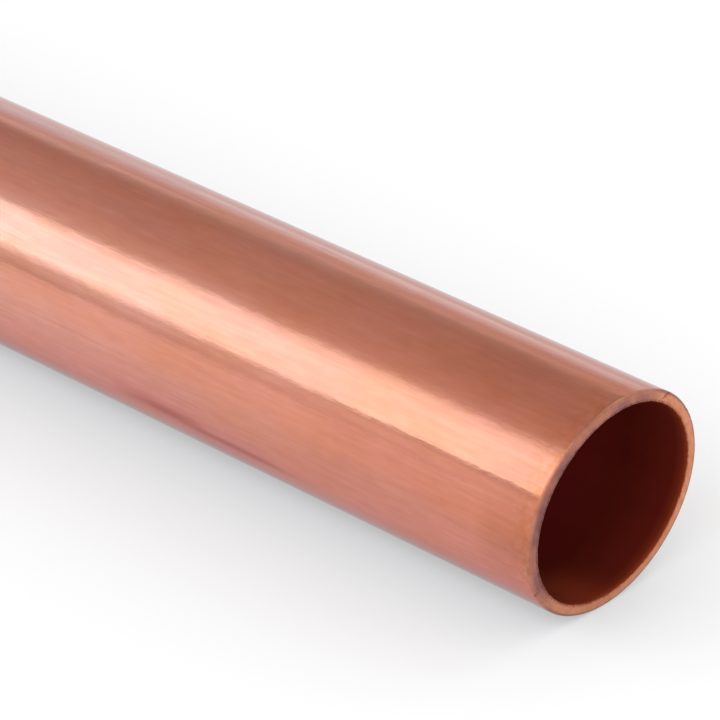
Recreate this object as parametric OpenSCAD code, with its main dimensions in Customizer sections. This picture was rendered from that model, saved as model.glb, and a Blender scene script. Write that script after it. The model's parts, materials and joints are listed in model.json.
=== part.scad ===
// Straight length of hard-drawn copper tube, lying on its side.
// The tube's axis runs along X, its length is centred on the origin, and its lowest line is at Z = 0.

/* [Tube] */
// Outside diameter of the tube
outside_diameter = 22.225; // [6:0.005:60]
// Thickness of the wall
wall_thickness = 1.143; // [0.6:0.001:2.5]
// Length from one cut face to the other
tube_length = 304.8; // [30:0.1:6100]

/* [Cut ends] */
// Radius of the round on the outer edge of each cut face
outer_edge_radius = 0.25; // [0.05:0.01:0.3]
// Width of the reamed bevel on the inner edge of each cut face, measured across the face
ream_width = 0.05; // [0.02:0.01:0.25]
// Depth of the reamed bevel, measured along the bore
ream_depth = 0.08; // [0.02:0.01:2]

/* [Hidden] */

// Radius of the outside wall
outside_radius = outside_diameter / 2;
// Radius of the bore
bore_radius = outside_radius - wall_thickness;
// How far a cut runs past the faces that it opens
overrun = 0.1;
// Sides that a round is drawn with
$fn = 96;

// What comes off a square corner to leave a quarter round: the corner is at the origin, the wall towards -X and -Y.
module corner_waste(radius) {
    translate([-radius, -radius])
        difference() {
            square(radius + overrun);
            circle(radius);
        }
}

// What the reamer takes off the bore's edge: the cut face is at Y = 0, the wall towards +X and -Y.
module ream_waste() {
    polygon([
        [bore_radius - overrun, -ream_depth],
        [bore_radius, -ream_depth],
        [bore_radius + ream_width, 0],
        [bore_radius + ream_width, overrun],
        [bore_radius - overrun, overrun],
    ]);
}

// The wall's section along the tube: X is the distance from the tube's axis, Y runs along the tube.
module wall_section() {
    difference() {
        translate([bore_radius, -tube_length / 2])
            square([wall_thickness, tube_length]);
        for (end = [0, 1])
            mirror([0, end])
                translate([0, tube_length / 2]) {
                    translate([outside_radius, 0])
                        corner_waste(outer_edge_radius);
                    ream_waste();
                }
    }
}

// The tube: the wall's section turned about the tube's axis, then laid down along X.
module copper_tube() {
    color("#d98e6e")
        translate([0, 0, outside_radius])
            rotate([0, 90, 0])
                rotate_extrude()
                    wall_section();
}

copper_tube();
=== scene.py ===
"""Looks of a straight length of copper tube that lies on its side on a pale floor."""
import json
import math

import bpy
import numpy as np
from mathutils import Matrix, Vector


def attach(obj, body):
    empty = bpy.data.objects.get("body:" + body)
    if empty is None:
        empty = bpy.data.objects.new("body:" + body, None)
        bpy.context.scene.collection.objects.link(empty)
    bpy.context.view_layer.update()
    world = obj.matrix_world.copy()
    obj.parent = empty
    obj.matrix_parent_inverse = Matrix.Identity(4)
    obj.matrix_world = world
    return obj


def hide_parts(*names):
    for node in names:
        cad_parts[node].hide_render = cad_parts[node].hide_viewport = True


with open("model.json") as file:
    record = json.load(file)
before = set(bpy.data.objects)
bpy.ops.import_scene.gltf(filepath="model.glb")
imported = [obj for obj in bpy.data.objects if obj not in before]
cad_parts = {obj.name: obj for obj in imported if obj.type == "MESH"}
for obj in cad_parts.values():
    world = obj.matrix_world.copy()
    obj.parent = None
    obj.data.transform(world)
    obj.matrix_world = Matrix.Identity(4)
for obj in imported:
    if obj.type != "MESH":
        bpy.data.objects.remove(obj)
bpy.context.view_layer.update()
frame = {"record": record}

# Units
MM = 0.001
MICRON = 0.000001

# The tube's sizes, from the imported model
MOUNTS = {mount["name"]: mount for mount in frame["record"]["mounts"]}
OUTSIDE_RADIUS = MOUNTS["outside"]["dims"]["r_mm"] * MM
BORE_RADIUS = MOUNTS["bore"]["dims"]["r_mm"] * MM
WALL = OUTSIDE_RADIUS - BORE_RADIUS
AXIS_HEIGHT = MOUNTS["bore"]["pos_m"][2]
HALF_LENGTH = MOUNTS["near_end_face"]["pos_m"][0]

# The cut ends, as the part has them
OUTER_EDGE_RADIUS = 0.25 * MM
REAM_WIDTH = 0.05 * MM
REAM_DEPTH = 0.08 * MM

# How finely the skin is drawn
TURN_STEPS = 448
OUTSIDE_STEPS = 132
BORE_STEPS = 40
EDGE_STEPS = 9
FACE_STEPS = 10
REAM_STEPS = 4

# What the saw left on the ends
SAW_MARK_HEIGHT = 7 * MICRON
SAW_MARK_PITCHES = (0.62 * MM, 0.93 * MM, 1.7 * MM)
SAW_ANGLE = math.radians(24)

# The near cut, drawn out of square so that its rim fits the photograph: its slant, the angle at which it
# reaches furthest out, the length of tube over which the skin's points give way to it, and how far its middle
# falls back
CUT_SLANT = math.radians(3.92)
SLANT_ANGLE = math.radians(53.3)
SLANT_REACH = 20 * MM
SLANT_DROP = OUTSIDE_RADIUS * math.tan(CUT_SLANT)

# The burr on the inner edge: how far it leans into the bore, how much further on one side, where that side is
# and how sharply it stands out, how far it wanders, how much of the face it takes along, and its counts of
# waves round the rim
BURR_LEAN = 0.05 * MM
BURR_SIDE_LEAN = 0.13 * MM
BURR_SIDE_ANGLE = math.radians(148)
BURR_SIDE_POWER = 3
BURR_WANDER = 24 * MICRON
BURR_REACH = 0.4 * MM
BURR_COUNTS = (19, 31, 43, 58, 71, 97)

# Nicks in the near rim: angle, slant across the wall, width, depth and how much of the wall they cross
NICKS = (
    (math.radians(54), math.radians(4), 0.26 * MM, 0.08 * MM, 0.75),
    (math.radians(33), math.radians(1), 0.20 * MM, 0.09 * MM, 0.22),
    (math.radians(29), math.radians(-1), 0.16 * MM, 0.07 * MM, 0.16),
    (math.radians(24), math.radians(1), 0.20 * MM, 0.06 * MM, 0.18),
    (math.radians(209), math.radians(-2), 0.30 * MM, 0.05 * MM, 0.35),
)
# How strongly the skin's points crowd towards the upper nicks, and the angle where they are closest
CROWDING = 0.5
CROWDING_ANGLE = math.radians(40)

# The powers of a plain bell curve and of one with a flat top
BELL = 2
FLAT_BELL = 4

# Patches of painted shade on the cut faces, greyish and darker on one side: angle, half of the spread, and
# strength
PAINTED_SHADE_PATCHES = (
    (math.radians(74), math.radians(12), 0.80),
    (math.radians(90), math.radians(11), 1.00),
    (math.radians(114), math.radians(20), 0.62),
    (math.radians(136), math.radians(17), 0.97),
    (math.radians(165), math.radians(34), 1.00),
    (math.radians(203), math.radians(19), 0.96),
)

# Stains on the drawn wall: distance from the near end, angle, length and width
STAINS = (
    (46.5 * MM, math.radians(202.5), 10 * MM, 1.7 * MM),
    (38.0 * MM, math.radians(205.5), 14 * MM, 1.0 * MM),
)
# Darker patches by the near end, in the same terms
DARKER_END_PATCHES = (
    (1.5 * MM, math.radians(178), 9 * MM, 11 * MM),
)
# Patches of painted light in the bore behind its mouth, in the same terms
LIT_BORE_PATCHES = (
    (2.6 * MM, math.radians(257), 8 * MM, 6 * MM),
)

# How far the drawn wall wanders from a true cylinder
WAVE_HEIGHT = 7 * MICRON
WAVE_LENGTHS = (31 * MM, 47 * MM, 83 * MM, 140 * MM)
WAVE_COUNTS = (7, 11, 5, 29)

# Which finish a strip of the skin has
OUTSIDE_FINISH, CUT_FINISH, BORE_FINISH = range(3)

# The camera, fitted to the tube's edges and rim in the photograph. Pixels count from the picture's corner.
IMAGE_SIDE = 720
FOCAL_PIXELS = 4483.5
SENSOR_WIDTH = 36
CLIP_START = 10 * MM
CAMERA_AZIMUTH = math.radians(42.08)
CAMERA_ELEVATION = math.radians(30.60)
END_CENTRE_PIXEL = (613.48, 503.81)
END_DEPTH = 35.799 * OUTSIDE_RADIUS

# How a node mixes or multiplies two colours, and where its share, its colours and its result are
MIX = {"data_type": "RGBA"}
MULTIPLY = {"data_type": "RGBA", "blend_type": "MULTIPLY"}
SHARE, FIRST, SECOND = 0, 6, 7
RESULT = 2


def srgb(code):
    """Turns an sRGB hex colour into linear red, green, blue and full alpha, by the standard's own curve."""
    channels = np.array([int(code[i:i + 2], 16) for i in (1, 3, 5)]) / 255
    linear = np.where(channels <= 0.04045, channels / 12.92, ((channels + 0.055) / 1.055) ** 2.4)
    return (*linear.tolist(), 1.0)


def add(tree, kind, settings, inputs):
    """Adds one node, sets its own settings, and gives each input a value or a link from another output."""
    node = tree.nodes.new(kind)
    for name, value in settings.items():
        setattr(node, name, value)
    for name, value in inputs.items():
        if isinstance(value, bpy.types.NodeSocket):
            tree.links.new(value, node.inputs[name])
        else:
            node.inputs[name].default_value = value
    return node


def new_material(name):
    """An empty node material."""
    material = bpy.data.materials.new(name)
    material.use_nodes = True
    material.node_tree.nodes.clear()
    return material, material.node_tree


def cloud(tree, size, detail, spread, turn=0.0):
    """A cloudy pattern in the object's own space, stretched to a size along X, Y and Z and turned about X.
    It runs from nought to one between the two levels of its spread."""
    place = add(tree, "ShaderNodeTexCoord", {}, {}).outputs["Object"]
    stretched = add(tree, "ShaderNodeMapping", {"vector_type": "TEXTURE"}, {
        "Vector": place, "Rotation": (turn, 0, 0), "Scale": size})
    noise = add(tree, "ShaderNodeTexNoise", {}, {
        "Vector": stretched.outputs[0], "Scale": 1, "Detail": detail})
    return add(tree, "ShaderNodeMapRange", {}, {
        "Value": noise.outputs["Fac"], "From Min": spread[0], "From Max": spread[1]}).outputs[0]


def end_share(tree, start, full):
    """How near the surface is to a cut end of the tube: nought at one distance from it, one at another."""
    from_end = add(tree, "ShaderNodeAttribute", {"attribute_name": "from_end"}, {}).outputs["Fac"]
    return add(tree, "ShaderNodeMapRange", {}, {
        "Value": from_end, "From Min": start, "From Max": full}).outputs[0]


# Camera
def make_camera():
    """The camera looks along its azimuth and elevation with no roll, from where the near end's centre shows
    at its own pixel and depth."""
    right = Vector((math.cos(CAMERA_AZIMUTH), math.sin(CAMERA_AZIMUTH), 0))
    back = Vector((
        math.sin(CAMERA_AZIMUTH) * math.cos(CAMERA_ELEVATION),
        -math.cos(CAMERA_AZIMUTH) * math.cos(CAMERA_ELEVATION),
        math.sin(CAMERA_ELEVATION),
    ))
    up = back.cross(right)
    across = (END_CENTRE_PIXEL[0] - IMAGE_SIDE / 2) / FOCAL_PIXELS * END_DEPTH
    down = (END_CENTRE_PIXEL[1] - IMAGE_SIDE / 2) / FOCAL_PIXELS * END_DEPTH
    end_centre = Vector((HALF_LENGTH - SLANT_DROP, 0, AXIS_HEIGHT))
    place = end_centre - right * across + up * down + back * END_DEPTH
    data = bpy.data.cameras.new("camera")
    data.sensor_width = SENSOR_WIDTH
    data.lens = FOCAL_PIXELS / IMAGE_SIDE * SENSOR_WIDTH
    data.clip_start = CLIP_START
    camera = bpy.data.objects.new("camera", data)
    turn = Matrix((right, up, back)).transposed()
    camera.matrix_world = Matrix.Translation(place) @ turn.to_4x4()
    bpy.context.scene.collection.objects.link(camera)
    bpy.context.scene.camera = camera


# The tube's skin
def wall_section():
    """The wall's section as a closed loop of points: along the outside, a quarter round over the outer edge,
    straight down the cut face, a bevel into the bore, back through the bore, and the same edge mirrored.
    The points along the walls follow a sine, so that they crowd towards the ends.
    Gives each point's place along the axis, its distance from it, and the finish of the strip after it."""
    outside_end = HALF_LENGTH - OUTER_EDGE_RADIUS
    bore_end = HALF_LENGTH - REAM_DEPTH
    outside_x = outside_end * np.sin(np.linspace(-math.pi / 2, math.pi / 2, OUTSIDE_STEPS))[1:-1]
    bore_x = bore_end * np.sin(np.linspace(math.pi / 2, -math.pi / 2, BORE_STEPS))[1:-1]
    round_turn = np.linspace(0, math.pi / 2, EDGE_STEPS)
    round_x = outside_end + OUTER_EDGE_RADIUS * np.sin(round_turn)
    round_r = OUTSIDE_RADIUS - OUTER_EDGE_RADIUS + OUTER_EDGE_RADIUS * np.cos(round_turn)
    face_r = np.linspace(OUTSIDE_RADIUS - OUTER_EDGE_RADIUS, BORE_RADIUS + REAM_WIDTH, FACE_STEPS)[1:]
    ream_share = np.linspace(0, 1, REAM_STEPS)[1:]
    edge_x = np.concatenate([
        round_x,
        np.full(len(face_r), HALF_LENGTH),
        HALF_LENGTH - REAM_DEPTH * ream_share,
    ])
    edge_r = np.concatenate([
        round_r,
        face_r,
        BORE_RADIUS + REAM_WIDTH * (1 - ream_share),
    ])
    cut_finish = np.full(len(round_x) + len(face_r) - 1, CUT_FINISH)
    ream_finish = np.full(len(ream_share), BORE_FINISH)
    along = np.concatenate([outside_x, edge_x, bore_x, -edge_x[::-1]])
    radius = np.concatenate([
        np.full(len(outside_x), OUTSIDE_RADIUS),
        edge_r,
        np.full(len(bore_x), BORE_RADIUS),
        edge_r[::-1],
    ])
    finish = np.concatenate([
        np.full(len(outside_x), OUTSIDE_FINISH),
        cut_finish,
        ream_finish,
        np.full(len(bore_x) + 1, BORE_FINISH),
        ream_finish,
        cut_finish,
        [OUTSIDE_FINISH],
    ])
    return along, radius, finish


def turn_angles():
    """Angles once round the axis. An even count is pulled towards the upper nicks by a sine, so that they
    crowd there."""
    even = np.linspace(0, 2 * math.pi, TURN_STEPS, endpoint=False)
    return (even - CROWDING * np.sin(even - CROWDING_ANGLE)) % (2 * math.pi)


def drawn_waves(along, angle):
    """How far the wall lies inside a true cylinder: a mean of cosines, each with its own length along the
    tube and its own count of waves round it, between zero and one wave height."""
    waves = [
        np.cos(2 * math.pi * along / length + count * angle + count)
        for length, count in zip(WAVE_LENGTHS, WAVE_COUNTS)
    ]
    return WAVE_HEIGHT * (1 - np.mean(waves, axis=0)) / 2


def saw_marks(across, up):
    """How far the cut face lies inside a true plane: a mean of cosines of the distance along the saw's feed,
    one for each pitch, between zero and one mark height."""
    feed = across * math.cos(SAW_ANGLE) + up * math.sin(SAW_ANGLE)
    marks = [np.cos(2 * math.pi * feed / pitch + pitch / MM) for pitch in SAW_MARK_PITCHES]
    return SAW_MARK_HEIGHT * (1 - np.mean(marks, axis=0)) / 2


def slant_drop(across, up):
    """How far the near cut lies behind the tube's full length: a plane that meets it at one angle of the
    outside and falls back in proportion to the distance from there."""
    outward = across * math.cos(SLANT_ANGLE) + up * math.sin(SLANT_ANGLE)
    return math.tan(CUT_SLANT) * (OUTSIDE_RADIUS - outward)


def burr(angle, end_sign, radius):
    """How far the inner edge moves into the bore: a lean that grows towards its wide side as a power of a
    cosine, and a sum of cosines of the angle, with counts that share no factor. All of it fades as a square
    over its reach into the face."""
    side_share = (1 + np.cos(angle - BURR_SIDE_ANGLE)) / 2
    lean = BURR_LEAN + BURR_SIDE_LEAN * side_share ** BURR_SIDE_POWER
    waves = [np.cos(count * (angle + end_sign) + count) for count in BURR_COUNTS]
    wander = BURR_WANDER * np.sum(waves, axis=0) / math.sqrt(len(BURR_COUNTS))
    edge_share = np.clip(1 - (radius - BORE_RADIUS) / BURR_REACH, 0, 1)
    return (lean + wander) * np.square(edge_share)


def nick_share(nick, angle, radius):
    """How much of a nick's depth a point has: a bell curve of the distance round the rim from the nick's
    line, times a flat-topped one of the share of the wall that lies outside the point."""
    place, slant, width, _, crossed = nick
    inward = (OUTSIDE_RADIUS - radius) / WALL
    distance = (angle - place - slant * inward) * radius
    return np.exp(-(distance / (width / 2)) ** BELL - (inward / crossed) ** FLAT_BELL)


def painted_shade_share(patch, angle):
    """How much of a patch of painted shade a point has: a bell curve of the angle from its middle,
    times its strength."""
    place, spread, strength = patch
    return strength * np.exp(-((angle - place) / spread) ** BELL)


def patch_share(patch, along, angle, radius):
    """How much of a patch a point has: a flat-topped bell curve of the distance from its middle along the
    tube, times a plain one of the distance round it."""
    from_end, place, length, width = patch
    end_on = (HALF_LENGTH - along - from_end) / (length / 2)
    round_on = (angle - place) * radius / (width / 2)
    return np.exp(-end_on ** FLAT_BELL - round_on ** BELL)


def tube_skin():
    """The wall's section carried round the axis: a point's angle gives its place across and up. Small
    formulas then move it into the metal for the drawn waves, the saw marks, the nicks and the slant, and into
    the bore for the burr. Gives the points, the faces, each face's finish, and each point's distance from its
    end and share of every mark."""
    along, radius, finish = wall_section()
    angle = turn_angles()
    x = np.repeat(along[:, None], len(angle), axis=1)
    r = np.repeat(radius[:, None], len(angle), axis=1)
    theta = np.repeat(angle[None, :], len(along), axis=0)
    on_bore_wall = (r <= BORE_RADIUS) & (np.abs(x) < HALF_LENGTH - REAM_DEPTH)
    on_edge = (np.abs(x) >= HALF_LENGTH - OUTER_EDGE_RADIUS) & ~on_bore_wall
    on_outside = r > OUTSIDE_RADIUS - OUTER_EDGE_RADIUS / 2
    end_sign = np.sign(x)
    from_end = HALF_LENGTH - np.abs(x)
    near_share = np.clip(1 - (HALF_LENGTH - x) / SLANT_REACH, 0, 1)
    nick_shares = [nick_share(nick, theta, r) * (on_edge & (x > 0)) for nick in NICKS]
    nick_depths = [depth for _, _, _, depth, _ in NICKS]
    stain, dulled, scraped = [
        np.max([patch_share(patch, x, theta, r) * on_wall for patch in patches], axis=0)
        for patches, on_wall in ((STAINS, on_outside), (DARKER_END_PATCHES, on_outside), (LIT_BORE_PATCHES, ~on_outside))
    ]
    r = r - np.where(on_outside, drawn_waves(x, theta), 0)
    r = r - np.where(on_edge, burr(theta, end_sign, r), 0)
    across = r * np.cos(theta)
    up = r * np.sin(theta)
    x = x - end_sign * np.where(on_edge, saw_marks(across, up * end_sign), 0)
    x = x - np.sum([depth * share for depth, share in zip(nick_depths, nick_shares)], axis=0)
    x = x - near_share * slant_drop(across, up)
    # The nicks are coloured darker, by the largest share of any nick
    grime = np.max(nick_shares, axis=0)
    # Painted shade: greyish darker patches on one side of the cut faces
    film = np.max([painted_shade_share(patch, theta) * on_edge for patch in PAINTED_SHADE_PATCHES], axis=0)
    points = np.stack([x, across, AXIS_HEIGHT + up], axis=-1).reshape(-1, 3)
    index = np.arange(len(along) * len(angle)).reshape(len(along), len(angle))
    next_strip = np.roll(index, -1, axis=0)
    faces = np.stack([
        index,
        next_strip,
        np.roll(next_strip, -1, axis=1),
        np.roll(index, -1, axis=1),
    ], axis=-1).reshape(-1, 4)
    marks = {
        "from_end": from_end,
        "grime": grime,
        "film": film,
        "stain": stain,
        "dulled": dulled,
        "scraped": scraped,
    }
    return points, faces, np.repeat(finish, len(angle)), marks


def make_tube(materials):
    """The tube, in one piece with its three finishes."""
    points, faces, finish, marks = tube_skin()
    mesh = bpy.data.meshes.new("drawn_tube")
    mesh.from_pydata(points, [], faces)
    for material in materials:
        mesh.materials.append(material)
    mesh.polygons.foreach_set("material_index", finish.astype(np.int32))
    mesh.polygons.foreach_set("use_smooth", np.ones(len(faces), bool))
    for name, share in marks.items():
        mark = mesh.attributes.new(name, "FLOAT", "POINT")
        mark.data.foreach_set("value", share.reshape(-1).astype(np.float32))
    mesh.update()
    tube = bpy.data.objects.new("drawn_tube", mesh)
    bpy.context.scene.collection.objects.link(tube)
    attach(tube, "root")
    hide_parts("copper_tube")


# Patterns on the drawn wall: size along, across and up, fineness, and the levels between which they show.
# The die's own lines are about 0.05 mm apart, and are drawn coarser so that they show.
DIE_LINES = ((40 * MM, 0.17 * MM, 0.17 * MM), 2, (0.3, 0.7))
DRAG_STREAKS = ((6 * MM, 0.38 * MM, 0.38 * MM), 3, (0.35, 0.72))
LONG_BANDS = ((90 * MM, 1.6 * MM, 1.6 * MM), 2, (0.3, 0.7))
RIPPLES = ((2.2 * MM, 0.9 * MM, 0.9 * MM), 4, (0.3, 0.7))
HAND_SMUDGES = ((17 * MM, 5 * MM, 5 * MM), 3, (0.42, 0.7))
WARM_PATCHES = ((9 * MM, 3.2 * MM, 3.2 * MM), 3, (0.4, 0.66))
END_TARNISH = ((0.9 * MM, 0.7 * MM, 0.7 * MM), 3, (0.42, 0.6))
TARNISH_FROM_END, TARNISH_FULL_FROM_END = 3.5 * MM, 0.4 * MM
DIE_LINE_DEPTH = 1.1 * MICRON
RIPPLE_DEPTH = 5.5 * MICRON
SMOOTH_ROUGHNESS, DRAGGED_ROUGHNESS = 0.09, 0.17
# The colour at two distances from an end
PINK_COPPER, PINK_FROM_END = "#E5A99F", 75 * MM
ORANGE_COPPER, ORANGE_FROM_END = "#DC9786", 10 * MM
# The warmer upper side: the heights where it starts and is full, as shares of the radius
WARM_FROM_SHARE, WARM_FULL_SHARE = 0.75, 1.15
# The redder underside, which stands for the glow that copper throws under itself, in the same terms
RED_COPPER = "#F19B8C"
RED_FROM_SHARE, RED_FULL_SHARE = 0.95, 0.50
# Where light only grazes it, copper loses its colour and some of its shine
GRAZING_COPPER = "#DFE0E4"
# What each layer leaves of the colour under it
UPPER_TINT = "#FFF6EB"
LINE_TINT = "#FCFAF9"
STREAK_TINT = "#F9F5F3"
BAND_TINT = "#FBFAF9"
RIPPLE_TINT = "#F9F6F5"
SMUDGE_TINT = "#F8F5F6"
PATCH_TINT = "#FFFCF0"
TARNISH_TINT = "#F8EDD8"
STAIN_TINT = "#E2C3C0"
DARKER_END_TINT = "#EFEBE6"


def bright_drawn_copper():
    """Copper drawn through a die and left bright: mirror-like, with fine lines along the tube, shallow
    ripples that fray the edges of what it mirrors, dull streaks where metal dragged, patches of warmer
    tarnish, specks of it by the cut ends, faint smudges, a darker patch by the near end, and a reddish
    stain or two."""
    material, tree = new_material("bright_drawn_copper")
    lines = cloud(tree, *DIE_LINES)
    streaks = cloud(tree, *DRAG_STREAKS)
    bands = cloud(tree, *LONG_BANDS)
    ripples = cloud(tree, *RIPPLES)
    smudges = cloud(tree, *HAND_SMUDGES)
    patches = cloud(tree, *WARM_PATCHES)
    tarnish = add(tree, "ShaderNodeMath", {"operation": "MULTIPLY"}, {
        0: cloud(tree, *END_TARNISH),
        1: end_share(tree, TARNISH_FROM_END, TARNISH_FULL_FROM_END)}).outputs[0]
    stain = add(tree, "ShaderNodeAttribute", {"attribute_name": "stain"}, {}).outputs["Fac"]
    # A darker patch by the near end
    dulled = add(tree, "ShaderNodeAttribute", {"attribute_name": "dulled"}, {}).outputs["Fac"]
    place = add(tree, "ShaderNodeTexCoord", {}, {}).outputs["Object"]
    height = add(tree, "ShaderNodeSeparateXYZ", {}, {0: place}).outputs["Z"]
    upper = add(tree, "ShaderNodeMapRange", {}, {
        "Value": height,
        "From Min": WARM_FROM_SHARE * OUTSIDE_RADIUS,
        "From Max": WARM_FULL_SHARE * OUTSIDE_RADIUS}).outputs[0]
    under = add(tree, "ShaderNodeMapRange", {}, {
        "Value": height,
        "From Min": RED_FROM_SHARE * OUTSIDE_RADIUS,
        "From Max": RED_FULL_SHARE * OUTSIDE_RADIUS}).outputs[0]
    colour = add(tree, "ShaderNodeMix", MIX, {
        SHARE: end_share(tree, PINK_FROM_END, ORANGE_FROM_END),
        FIRST: srgb(PINK_COPPER),
        SECOND: srgb(ORANGE_COPPER)}).outputs[RESULT]
    colour = add(tree, "ShaderNodeMix", MIX, {
        SHARE: under, FIRST: colour, SECOND: srgb(RED_COPPER)}).outputs[RESULT]
    for share, tint in (
        (upper, UPPER_TINT),
        (lines, LINE_TINT),
        (streaks, STREAK_TINT),
        (bands, BAND_TINT),
        (ripples, RIPPLE_TINT),
        (smudges, SMUDGE_TINT),
        (patches, PATCH_TINT),
        (tarnish, TARNISH_TINT),
        (stain, STAIN_TINT),
        (dulled, DARKER_END_TINT),
    ):
        colour = add(tree, "ShaderNodeMix", MULTIPLY, {
            SHARE: share, FIRST: colour, SECOND: srgb(tint)}).outputs[RESULT]
    roughness = add(tree, "ShaderNodeMapRange", {}, {
        "Value": streaks, "To Min": SMOOTH_ROUGHNESS, "To Max": DRAGGED_ROUGHNESS})
    rippled = add(tree, "ShaderNodeBump", {}, {
        "Height": ripples, "Strength": 1.0, "Distance": RIPPLE_DEPTH})
    lined = add(tree, "ShaderNodeBump", {}, {
        "Height": lines, "Strength": 1.0, "Distance": DIE_LINE_DEPTH, "Normal": rippled.outputs[0]})
    shader = add(tree, "ShaderNodeBsdfPrincipled", {}, {
        "Base Color": colour, "Metallic": 1.0, "Roughness": roughness.outputs[0],
        "Specular Tint": srgb(GRAZING_COPPER), "Normal": lined.outputs[0]})
    add(tree, "ShaderNodeOutputMaterial", {}, {"Surface": shader.outputs[0]})
    return material


# Patterns on the cut faces, in the same terms as the drawn wall's. The saw's own marks are about 0.1 mm
# apart, and are drawn coarser so that they show.
SAW_MARKS = ((2 * MM, 0.3 * MM, 5 * MM), 3, (0.3, 0.7))
CUT_MOTTLE = ((1 * MM, 0.9 * MM, 0.9 * MM), 3, (0.35, 0.65))
PAINTED_SHADE_BLOTCHES = ((2 * MM, 1.1 * MM, 1.1 * MM), 4, (0.36, 0.64))
BURR_SPECKS = ((0.3 * MM, 0.3 * MM, 0.3 * MM), 2, (0.42, 0.62))
SAW_MARK_DEPTH = 6 * MICRON
CUT_ROUGHNESS = 0.36
# How far inside the outside wall the painted shade on the outer edge starts and is full
EDGE_SHADE_FROM, EDGE_SHADE_FULL = 0.36 * MM, 0.14 * MM
# The same for the painted shade on one side, which is fainter towards the outside
FAINT_FROM, FAINT_FULL = 0.52 * MM, 0.06 * MM
# How far outside the bore the burr's shade starts and is full
SHADE_FROM, SHADE_FULL = 0.26 * MM, 0.06 * MM
# How many times the painted shade's strength counts where it covers the shaded outer edge
PAINTED_SHADE_COVER = 2.0
# Colours: the cut and its mottle, the painted shade on one side where it is deep and faint with its
# blotches, the painted shade of the outer edge and the darker nicks
CUT_COPPER, CUT_MOTTLED = "#CB855F", "#DA9273"
DEEP_PAINTED_SHADE, DEEP_SHADE_BLOTCHED = "#98625E", "#875252"
FAINT_PAINTED_SHADE, FAINT_SHADE_BLOTCHED = "#BC7D65", "#AA6E56"
EDGE_SHADE_COPPER = "#8C5C4C"
NICK_DARKENING = "#7C4438"
# What each layer leaves of the colour under it
SAW_MARK_TINT = "#F3EEEC"
BURR_TINT = "#E2D5CA"
SPECK_TINT = "#C4A48C"


def sawn_copper():
    """Copper cut by a saw and roughly deburred: browner and duller than the drawn wall, with saw marks across
    it, painted shade on one side in greyish blotches, painted shade that darkens the outer edge, a dark
    specked burr and dark nicks."""
    material, tree = new_material("sawn_copper")
    place = add(tree, "ShaderNodeTexCoord", {}, {}).outputs["Object"]
    marks = cloud(tree, *SAW_MARKS, SAW_ANGLE)
    mottle = cloud(tree, *CUT_MOTTLE)
    blotches = cloud(tree, *PAINTED_SHADE_BLOTCHES)
    specks = cloud(tree, *BURR_SPECKS)
    section = add(tree, "ShaderNodeMapping", {}, {
        "Vector": place, "Location": (0, 0, -AXIS_HEIGHT), "Scale": (0, 1, 1)}).outputs[0]
    radius = add(tree, "ShaderNodeVectorMath", {"operation": "LENGTH"}, {0: section})
    # Painted shade that darkens the outer edge of the cut faces
    edge_shade = add(tree, "ShaderNodeMapRange", {}, {
        "Value": radius.outputs["Value"],
        "From Min": OUTSIDE_RADIUS - EDGE_SHADE_FROM,
        "From Max": OUTSIDE_RADIUS - EDGE_SHADE_FULL}).outputs[0]
    faint = add(tree, "ShaderNodeMapRange", {}, {
        "Value": radius.outputs["Value"],
        "From Min": OUTSIDE_RADIUS - FAINT_FROM,
        "From Max": OUTSIDE_RADIUS - FAINT_FULL}).outputs[0]
    shade = add(tree, "ShaderNodeMapRange", {}, {
        "Value": radius.outputs["Value"],
        "From Min": BORE_RADIUS + SHADE_FROM,
        "From Max": BORE_RADIUS + SHADE_FULL}).outputs[0]
    # The nicks are coloured darker
    grime = add(tree, "ShaderNodeAttribute", {"attribute_name": "grime"}, {}).outputs["Fac"]
    # Painted shade on one side of the cut faces
    film = add(tree, "ShaderNodeAttribute", {"attribute_name": "film"}, {}).outputs["Fac"]
    covered = add(tree, "ShaderNodeMath", {"operation": "MULTIPLY", "use_clamp": True}, {
        0: film, 1: PAINTED_SHADE_COVER}).outputs[0]
    deep_painted_shade = add(tree, "ShaderNodeMix", MIX, {
        SHARE: blotches, FIRST: srgb(DEEP_PAINTED_SHADE), SECOND: srgb(DEEP_SHADE_BLOTCHED)}).outputs[RESULT]
    faint_painted_shade = add(tree, "ShaderNodeMix", MIX, {
        SHARE: blotches, FIRST: srgb(FAINT_PAINTED_SHADE), SECOND: srgb(FAINT_SHADE_BLOTCHED)}).outputs[RESULT]
    painted_shade_colour = add(tree, "ShaderNodeMix", MIX, {
        SHARE: faint, FIRST: deep_painted_shade, SECOND: faint_painted_shade}).outputs[RESULT]
    edge_shade_colour = add(tree, "ShaderNodeMix", MIX, {
        SHARE: covered, FIRST: srgb(EDGE_SHADE_COPPER), SECOND: painted_shade_colour}).outputs[RESULT]
    specked = add(tree, "ShaderNodeMath", {"operation": "MULTIPLY"}, {0: shade, 1: specks}).outputs[0]
    colour = srgb(CUT_COPPER)
    for blend, share, layer in (
        (MIX, mottle, srgb(CUT_MOTTLED)),
        (MIX, film, painted_shade_colour),
        (MULTIPLY, marks, srgb(SAW_MARK_TINT)),
        (MIX, edge_shade, edge_shade_colour),
        (MULTIPLY, shade, srgb(BURR_TINT)),
        (MULTIPLY, specked, srgb(SPECK_TINT)),
        (MIX, grime, srgb(NICK_DARKENING)),
    ):
        colour = add(tree, "ShaderNodeMix", blend, {
            SHARE: share, FIRST: colour, SECOND: layer}).outputs[RESULT]
    sawn = add(tree, "ShaderNodeBump", {}, {
        "Height": marks, "Strength": 1.0, "Distance": SAW_MARK_DEPTH})
    shader = add(tree, "ShaderNodeBsdfPrincipled", {}, {
        "Base Color": colour, "Metallic": 1.0, "Roughness": CUT_ROUGHNESS, "Normal": sawn.outputs[0]})
    add(tree, "ShaderNodeOutputMaterial", {}, {"Surface": shader.outputs[0]})
    return material


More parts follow.
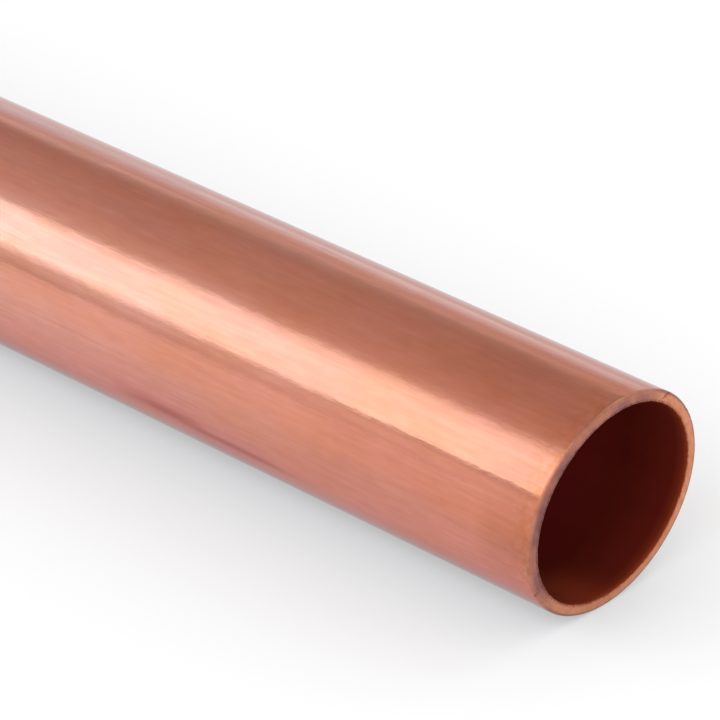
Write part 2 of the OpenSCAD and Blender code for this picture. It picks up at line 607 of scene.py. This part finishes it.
# The oxide's blotches, in the same terms as the drawn wall's patterns, and what they leave of its colour
OXIDE_BLOTCHES = ((14 * MM, 3 * MM, 3 * MM), 3, (0.3, 0.7))
BLOTCH_TINT = "#EFE6E4"
# Its colour at the mouth and in the patches of painted light, and each colour that follows the mouth's,
# with the depths between which it takes over
MOUTH_OXIDE = "#943A1A"
LIT_PATCH_OXIDE = "#A04024"
NEXT_OXIDES = (("#762013", 0.2 * MM, 1.4 * MM), ("#A83030", 7 * MM, 15 * MM))
OXIDE_METALLIC = 0.6
OXIDE_ROUGHNESS = 0.75
OXIDE_SHINE = 0.2


def oxidised_copper_bore():
    """Copper left as it came from the annealing furnace: a thin dull red oxide that keeps the bore dark. The
    tool scraped it at the mouth. A lighter patch behind the mouth is painted light, and the colour is
    lighter further in."""
    material, tree = new_material("oxidised_copper_bore")
    oxide = cloud(tree, *OXIDE_BLOTCHES)
    colour = srgb(MOUTH_OXIDE)
    for code, start, full in NEXT_OXIDES:
        colour = add(tree, "ShaderNodeMix", MIX, {
            SHARE: end_share(tree, start, full), FIRST: colour, SECOND: srgb(code)}).outputs[RESULT]
    # Painted light: a lighter patch of the bore behind its mouth
    scraped = add(tree, "ShaderNodeAttribute", {"attribute_name": "scraped"}, {}).outputs["Fac"]
    colour = add(tree, "ShaderNodeMix", MIX, {
        SHARE: scraped, FIRST: colour, SECOND: srgb(LIT_PATCH_OXIDE)}).outputs[RESULT]
    colour = add(tree, "ShaderNodeMix", MULTIPLY, {
        SHARE: oxide, FIRST: colour, SECOND: srgb(BLOTCH_TINT)}).outputs[RESULT]
    shader = add(tree, "ShaderNodeBsdfPrincipled", {}, {
        "Base Color": colour, "Metallic": OXIDE_METALLIC, "Roughness": OXIDE_ROUGHNESS,
        "Specular IOR Level": OXIDE_SHINE})
    add(tree, "ShaderNodeOutputMaterial", {}, {"Surface": shader.outputs[0]})
    return material


# The card's colour, and how much white the veil adds to it
CARD_COLOUR = "#D4D1D0"
VEIL_LEVEL = 0.35


def pale_card():
    """Matt pale card. A veil that only the camera, reflections and glass see brings it up to white, and the
    card keeps the tube's shadow."""
    material, tree = new_material("pale_card")
    path = add(tree, "ShaderNodeLightPath", {}, {})
    seen = add(tree, "ShaderNodeMath", {"operation": "MAXIMUM"}, {
        0: path.outputs["Is Camera Ray"], 1: path.outputs["Is Glossy Ray"]})
    seen = add(tree, "ShaderNodeMath", {"operation": "MAXIMUM"}, {
        0: seen.outputs[0], 1: path.outputs["Is Transmission Ray"]})
    veil = add(tree, "ShaderNodeMath", {"operation": "MULTIPLY"}, {0: seen.outputs[0], 1: VEIL_LEVEL})
    card = add(tree, "ShaderNodeBsdfDiffuse", {}, {"Color": srgb(CARD_COLOUR)})
    glow = add(tree, "ShaderNodeEmission", {}, {"Strength": veil.outputs[0]})
    both = add(tree, "ShaderNodeAddShader", {}, {0: card.outputs[0], 1: glow.outputs[0]})
    add(tree, "ShaderNodeOutputMaterial", {}, {"Surface": both.outputs[0]})
    return material


# The floor: its size, its counts of rings and spokes, and the first share and the power that space the rings
FLOOR_RADIUS = 12.0
FLOOR_RINGS = 24
FLOOR_SPOKES = 64
FLOOR_INNER_SHARE = 0.02
FLOOR_GROWTH = 3


def make_floor():
    """A round card under the tube: the distance from the middle grows as a power along each spoke."""
    ring = FLOOR_RADIUS * np.linspace(FLOOR_INNER_SHARE, 1, FLOOR_RINGS)[:, None] ** FLOOR_GROWTH
    spoke = np.linspace(0, 2 * math.pi, FLOOR_SPOKES, endpoint=False)[None, :]
    rim = np.stack([ring * np.cos(spoke), ring * np.sin(spoke), 0 * ring * spoke], axis=-1).reshape(-1, 3)
    index = np.arange(len(rim)).reshape(FLOOR_RINGS, FLOOR_SPOKES)
    ahead = np.roll(index, -1, axis=1)
    quads = np.stack([index[:-1], index[1:], ahead[1:], ahead[:-1]], axis=-1).reshape(-1, 4)
    mesh = bpy.data.meshes.new("floor")
    mesh.from_pydata(rim, [], [*quads.tolist(), index[0].tolist()])
    mesh.materials.append(pale_card())
    mesh.update()
    floor = bpy.data.objects.new("floor", mesh)
    bpy.context.scene.collection.objects.link(floor)


# Colours of the tent's cloth
WHITE, CORE_WHITE, EDGE_WHITE, FADE_WHITE = "#FFFFFF", "#FFF9FF", "#E6F9FF", "#EAF9FF"
ROOF_EDGE, ROOF_WARM, BACK_WARM = "#FFF8F5", "#FFF2EC", "#FFE8E0"
BACK_COOL, HORIZON_COOL = "#E3F0FF", "#DCF8FF"
# Brightness of the tent round the tube's axis: degrees from the floor in front, over the top, to the floor
# behind, then the level and the cloth's colour there
LOW_FAR = (
    (0, 0.74, WHITE), (3.6, 0.70, WHITE), (8.4, 0.93, WHITE), (11.9, 0.83, WHITE),
    (15.5, 1.52, EDGE_WHITE), (19, 1.82, EDGE_WHITE), (21.5, 2.46, EDGE_WHITE),
)
LOW_MIDDLE = (
    (0, 0.90, WHITE), (3.6, 0.87, WHITE), (8.4, 1.06, WHITE), (11.9, 1.18, FADE_WHITE),
    (15.5, 1.46, EDGE_WHITE), (19, 2.35, EDGE_WHITE), (21.5, 2.50, EDGE_WHITE),
)
LOW_NEAR = (
    (0, 0.98, WHITE), (3.6, 1.00, WHITE), (8.4, 1.14, WHITE), (11.9, 1.05, WHITE), (14.4, 0.60, WHITE),
    (16.5, 0.50, WHITE), (17.2, 2.25, EDGE_WHITE), (21.5, 2.40, EDGE_WHITE),
)
STRIP = ((25, 2.36, CORE_WHITE), (44, 2.36, CORE_WHITE))
TOP_FAR = ((50, 2.30, EDGE_WHITE), (56.5, 1.85, EDGE_WHITE), (60, 1.10, FADE_WHITE), (62.5, 0.80, WHITE))
TOP_NEAR = ((50, 2.12, EDGE_WHITE), (54.6, 1.86, EDGE_WHITE), (59.2, 1.55, FADE_WHITE), (63.4, 0.89, WHITE))
ROOF = ((68.6, 0.79, ROOF_EDGE), (78, 0.715, ROOF_WARM))
BACK_FAR = (
    (98, 0.62, ROOF_WARM), (121, 0.56, BACK_WARM), (134, 0.53, BACK_WARM), (140, 0.54, ROOF_EDGE),
    (143.5, 0.62, WHITE), (146.5, 0.84, WHITE), (150, 0.96, WHITE), (154.5, 0.69, WHITE), (160, 0.84, WHITE),
    (167, 1.18, BACK_COOL), (176, 1.34, HORIZON_COOL),
)
BACK_NEAR = (
    (98, 0.63, ROOF_WARM), (121, 0.58, ROOF_WARM), (134, 0.55, ROOF_WARM), (140, 0.56, WHITE),
    (143.5, 0.60, WHITE), (147, 0.68, WHITE), (150.5, 0.83, WHITE), (154.5, 0.79, WHITE), (160, 0.80, WHITE),
    (167, 1.32, BACK_COOL), (176, 1.60, HORIZON_COOL),
)
LIT_BACK = (
    (98, 0.66, ROOF_WARM), (114, 0.70, WHITE), (118, 1.60, EDGE_WHITE), (138, 1.60, EDGE_WHITE),
    (144, 0.90, WHITE), (165, 1.00, WHITE),
)
# The even cloth at both ends of the tent
END_LEVEL = 0.97
END_CLOTH = ((0, END_LEVEL, WHITE),)
# The lightings along the tent, and the leans along the tube between which each takes over from the one before
TENT = (
    (LOW_FAR + STRIP + TOP_FAR + ROOF + BACK_FAR, -0.95, -0.85),
    (LOW_MIDDLE + STRIP + TOP_NEAR + ROOF + BACK_NEAR, -0.640, -0.593),
    (LOW_NEAR + STRIP + TOP_NEAR + ROOF + BACK_NEAR, -0.593, -0.560),
    (LOW_NEAR + STRIP + TOP_NEAR + ROOF + LIT_BACK, -0.40, -0.15),
    (END_CLOTH, 0.85, 0.95),
)
# The brightness that full white stands for in the stops of a lighting
TENT_TOP_LEVEL = 2.5
# Degrees from one end of a lighting to the other
HALF_TURN = 180


def make_world():
    """A pale tent that runs along the tube: a strip light in front, a warm dim roof and a cool white back.
    Its brightness follows the angle about the tube's axis. It changes along the tube, and at both ends it
    evens out."""
    world = bpy.data.worlds.new("tent")
    world.use_nodes = True
    tree = world.node_tree
    tree.nodes.clear()
    direction = add(tree, "ShaderNodeTexCoord", {}, {}).outputs["Generated"]
    parts = add(tree, "ShaderNodeSeparateXYZ", {}, {0: direction}).outputs
    front = add(tree, "ShaderNodeMath", {"operation": "MULTIPLY"}, {0: parts["Y"], 1: -1.0})
    turn = add(tree, "ShaderNodeMath", {"operation": "ARCTAN2"}, {0: parts["Z"], 1: front.outputs[0]})
    turn_share = add(tree, "ShaderNodeMath", {"operation": "DIVIDE"}, {
        0: turn.outputs[0], 1: math.pi}).outputs[0]
    cloth = (*[END_LEVEL / TENT_TOP_LEVEL] * 3, 1)
    for lighting, lean_from, lean_to in TENT:
        shades = add(tree, "ShaderNodeValToRGB", {}, {0: turn_share})
        stops = shades.color_ramp.elements
        # A new ramp has two stops, and only the first is kept
        stops.remove(stops[1])
        for number, (degrees, level, code) in enumerate(lighting):
            stop = stops.new(degrees / HALF_TURN) if number else stops[0]
            stop.position = degrees / HALF_TURN
            stop.color = np.multiply(srgb(code), (*[level / TENT_TOP_LEVEL] * 3, 1))
        share = add(tree, "ShaderNodeMapRange", {"interpolation_type": "SMOOTHSTEP"}, {
            "Value": parts["X"], "From Min": lean_from, "From Max": lean_to})
        cloth = add(tree, "ShaderNodeMix", MIX, {
            SHARE: share.outputs[0], FIRST: cloth, SECOND: shades.outputs[0]}).outputs[RESULT]
    glow = add(tree, "ShaderNodeBackground", {}, {"Color": cloth, "Strength": TENT_TOP_LEVEL})
    add(tree, "ShaderNodeOutputWorld", {}, {"Surface": glow.outputs[0]})
    bpy.context.scene.world = world


make_camera()
make_tube([bright_drawn_copper(), sawn_copper(), oxidised_copper_bore()])
make_floor()
make_world()
bpy.context.scene.view_settings.view_transform = "Standard"
# The copper throws no glow onto the floor, so the shadow stays grey
bpy.context.scene.cycles.caustics_reflective = False
